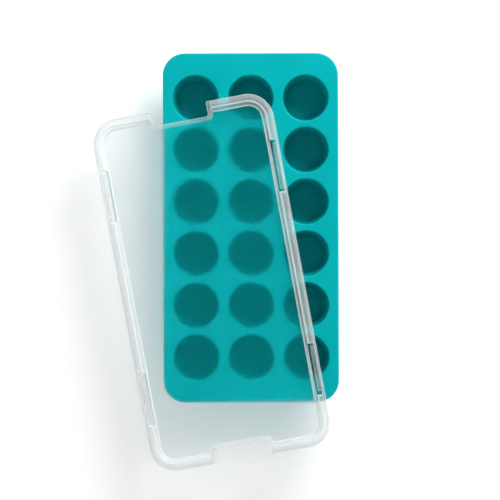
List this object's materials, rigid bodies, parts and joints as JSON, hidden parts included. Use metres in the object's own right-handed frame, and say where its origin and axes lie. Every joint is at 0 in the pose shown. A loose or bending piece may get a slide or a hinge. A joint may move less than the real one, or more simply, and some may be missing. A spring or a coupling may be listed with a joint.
{
  "type": "ice cube tray",
  "caption": "Soft silicone tray of round tapered cups whose floors push up to turn the ice out, with a translucent clip-on lid lying askew across its deck.",
  "frame": {"origin": "centre of the tray, on the plane that its cups' foot rings stand on", "axes": "+Z up, +Y along the tray towards the end that the lid leaves bare, +X across the tray, to the right when seen from above with +Y up"},
  "size_m": [0.1555, 0.2652, 0.049],
  "materials": {
    "silicone": "satin silicone rubber, moulded in teal",
    "lid_plastic": "clear plastic, glossy on the rim and frosted on the panel"
  },
  "bodies": {
    "tray": {"tray_deck": "silicone", "cup_wall_a1": "silicone", "cup_wall_a2": "silicone", "cup_wall_a3": "silicone", "cup_wall_a4": "silicone", "cup_wall_a5": "silicone", "cup_wall_a6": "silicone", "cup_wall_b1": "silicone", "cup_wall_b2": "silicone", "cup_wall_b3": "silicone", "cup_wall_b4": "silicone", "cup_wall_b5": "silicone", "cup_wall_b6": "silicone", "cup_wall_c1": "silicone", "cup_wall_c2": "silicone", "cup_wall_c3": "silicone", "cup_wall_c4": "silicone", "cup_wall_c5": "silicone", "cup_wall_c6": "silicone"},
    "lid": {"lid": "lid_plastic"},
    "floor_a1": {"cup_floor_a1": "silicone"},
    "floor_a2": {"cup_floor_a2": "silicone"},
    "floor_a3": {"cup_floor_a3": "silicone"},
    "floor_a4": {"cup_floor_a4": "silicone"},
    "floor_a5": {"cup_floor_a5": "silicone"},
    "floor_a6": {"cup_floor_a6": "silicone"},
    "floor_b1": {"cup_floor_b1": "silicone"},
    "floor_b2": {"cup_floor_b2": "silicone"},
    "floor_b3": {"cup_floor_b3": "silicone"},
    "floor_b4": {"cup_floor_b4": "silicone"},
    "floor_b5": {"cup_floor_b5": "silicone"},
    "floor_b6": {"cup_floor_b6": "silicone"},
    "floor_c1": {"cup_floor_c1": "silicone"},
    "floor_c2": {"cup_floor_c2": "silicone"},
    "floor_c3": {"cup_floor_c3": "silicone"},
    "floor_c4": {"cup_floor_c4": "silicone"},
    "floor_c5": {"cup_floor_c5": "silicone"},
    "floor_c6": {"cup_floor_c6": "silicone"}
  },
  "joints": [
    {"name": "lid_lift", "type": "slide", "parent": "tray", "child": "lid", "axis": [0, 0, 1], "range_m": [0, 0.08]},
    {"name": "push_a1", "type": "slide", "parent": "tray", "child": "floor_a1", "axis": [0, 0, 1], "range_m": [0, 0.01], "stiffness_N_per_m": 1500},
    {"name": "push_a2", "type": "slide", "parent": "tray", "child": "floor_a2", "axis": [0, 0, 1], "range_m": [0, 0.01], "stiffness_N_per_m": 1500},
    {"name": "push_a3", "type": "slide", "parent": "tray", "child": "floor_a3", "axis": [0, 0, 1], "range_m": [0, 0.01], "stiffness_N_per_m": 1500},
    {"name": "push_a4", "type": "slide", "parent": "tray", "child": "floor_a4", "axis": [0, 0, 1], "range_m": [0, 0.01], "stiffness_N_per_m": 1500},
    {"name": "push_a5", "type": "slide", "parent": "tray", "child": "floor_a5", "axis": [0, 0, 1], "range_m": [0, 0.01], "stiffness_N_per_m": 1500},
    {"name": "push_a6", "type": "slide", "parent": "tray", "child": "floor_a6", "axis": [0, 0, 1], "range_m": [0, 0.01], "stiffness_N_per_m": 1500},
    {"name": "push_b1", "type": "slide", "parent": "tray", "child": "floor_b1", "axis": [0, 0, 1], "range_m": [0, 0.01], "stiffness_N_per_m": 1500},
    {"name": "push_b2", "type": "slide", "parent": "tray", "child": "floor_b2", "axis": [0, 0, 1], "range_m": [0, 0.01], "stiffness_N_per_m": 1500},
    {"name": "push_b3", "type": "slide", "parent": "tray", "child": "floor_b3", "axis": [0, 0, 1], "range_m": [0, 0.01], "stiffness_N_per_m": 1500},
    {"name": "push_b4", "type": "slide", "parent": "tray", "child": "floor_b4", "axis": [0, 0, 1], "range_m": [0, 0.01], "stiffness_N_per_m": 1500},
    {"name": "push_b5", "type": "slide", "parent": "tray", "child": "floor_b5", "axis": [0, 0, 1], "range_m": [0, 0.01], "stiffness_N_per_m": 1500},
    {"name": "push_b6", "type": "slide", "parent": "tray", "child": "floor_b6", "axis": [0, 0, 1], "range_m": [0, 0.01], "stiffness_N_per_m": 1500},
    {"name": "push_c1", "type": "slide", "parent": "tray", "child": "floor_c1", "axis": [0, 0, 1], "range_m": [0, 0.01], "stiffness_N_per_m": 1500},
    {"name": "push_c2", "type": "slide", "parent": "tray", "child": "floor_c2", "axis": [0, 0, 1], "range_m": [0, 0.01], "stiffness_N_per_m": 1500},
    {"name": "push_c3", "type": "slide", "parent": "tray", "child": "floor_c3", "axis": [0, 0, 1], "range_m": [0, 0.01], "stiffness_N_per_m": 1500},
    {"name": "push_c4", "type": "slide", "parent": "tray", "child": "floor_c4", "axis": [0, 0, 1], "range_m": [0, 0.01], "stiffness_N_per_m": 1500},
    {"name": "push_c5", "type": "slide", "parent": "tray", "child": "floor_c5", "axis": [0, 0, 1], "range_m": [0, 0.01], "stiffness_N_per_m": 1500},
    {"name": "push_c6", "type": "slide", "parent": "tray", "child": "floor_c6", "axis": [0, 0, 1], "range_m": [0, 0.01], "stiffness_N_per_m": 1500}
  ]
}
